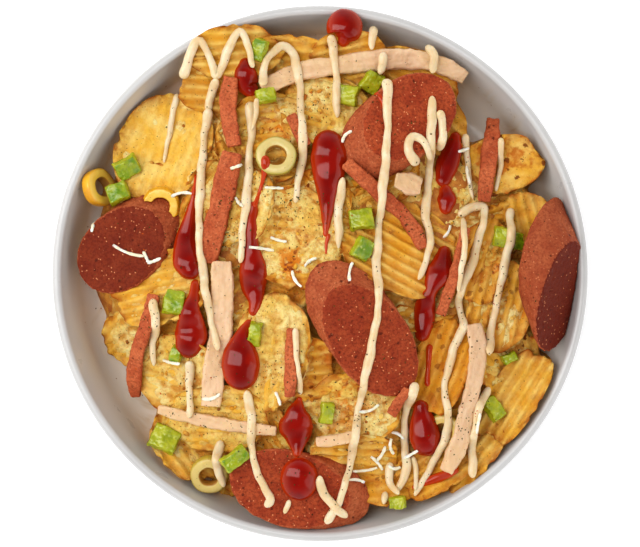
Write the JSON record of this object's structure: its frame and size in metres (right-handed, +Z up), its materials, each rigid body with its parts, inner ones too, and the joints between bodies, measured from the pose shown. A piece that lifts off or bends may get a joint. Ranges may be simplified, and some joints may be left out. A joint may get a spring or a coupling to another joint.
{
  "type": "plate of loaded nachos",
  "caption": "Loaded nachos heaped on a round steep-sided white plate: ridged chips, cheese, sausage, chicken, pepper and olives under drizzled sauces.",
  "frame": {"origin": "centre of the plate's foot, on the surface that it stands on", "axes": "+Z up out of the plate, +Y towards the far side of the plate, +X to the right"},
  "size_m": [0.2598, 0.2598, 0.0616],
  "materials": {
    "glaze": "gloss",
    "chips": "matte",
    "sausage": "satin",
    "chicken": "satin",
    "olive": "gloss",
    "pepper": "gloss",
    "red_sauce": "gloss"
  },
  "bodies": {
    "root": {"plate": "glaze", "chip_heap": "chips", "sausage_slice_left": "sausage", "sausage_slice_top": "sausage", "sausage_slice_middle": "sausage", "sausage_slice_right": "sausage", "sausage_slice_bottom": "sausage", "sausage_strip_far_left": "sausage", "sausage_strip_centre_left": "sausage", "sausage_strip_centre": "sausage", "sausage_strip_far_right": "sausage", "sausage_strip_right": "sausage", "sausage_strip_left": "sausage", "sausage_strip_centre_low": "sausage", "sausage_strip_near_right": "sausage", "sausage_strip_far_centre": "sausage", "chicken_strip_far": "chicken", "chicken_strip_left_wide": "chicken", "chicken_strip_near_left": "chicken", "chicken_strip_near_centre": "chicken", "chicken_strip_right": "chicken", "chicken_strip_centre": "chicken", "olive_left": "olive", "olive_far": "olive", "olive_behind_left_slice": "olive", "olive_near": "olive", "olive_near_right": "olive", "pepper_far_a": "pepper", "pepper_far_b": "pepper", "pepper_far_c": "pepper", "pepper_far_d": "pepper", "pepper_left_a": "pepper", "pepper_left_b": "pepper", "pepper_centre_a": "pepper", "pepper_centre_b": "pepper", "pepper_left_c": "pepper", "pepper_left_d": "pepper", "pepper_centre_c": "pepper", "pepper_near_a": "pepper", "pepper_near_b": "pepper", "pepper_near_c": "pepper", "pepper_right_a": "pepper", "pepper_right_b": "pepper", "pepper_right_c": "pepper", "pepper_right_d": "pepper", "pepper_near_d": "pepper", "red_sauce_far": "red_sauce", "red_sauce_far_left": "red_sauce", "red_sauce_large_tear": "red_sauce", "red_sauce_centre_left_tear": "red_sauce", "red_sauce_centre_left_drop": "red_sauce", "red_sauce_left_tear": "red_sauce", "red_sauce_left_drop": "red_sauce", "red_sauce_right_upper": "red_sauce", "red_sauce_right_small": "red_sauce", "red_sauce_right_long": "red_sauce", "red_sauce_near_right": "red_sauce", "red_sauce_near_tear": "red_sauce", "red_sauce_near_round": "red_sauce"}
  },
  "joints": []
}
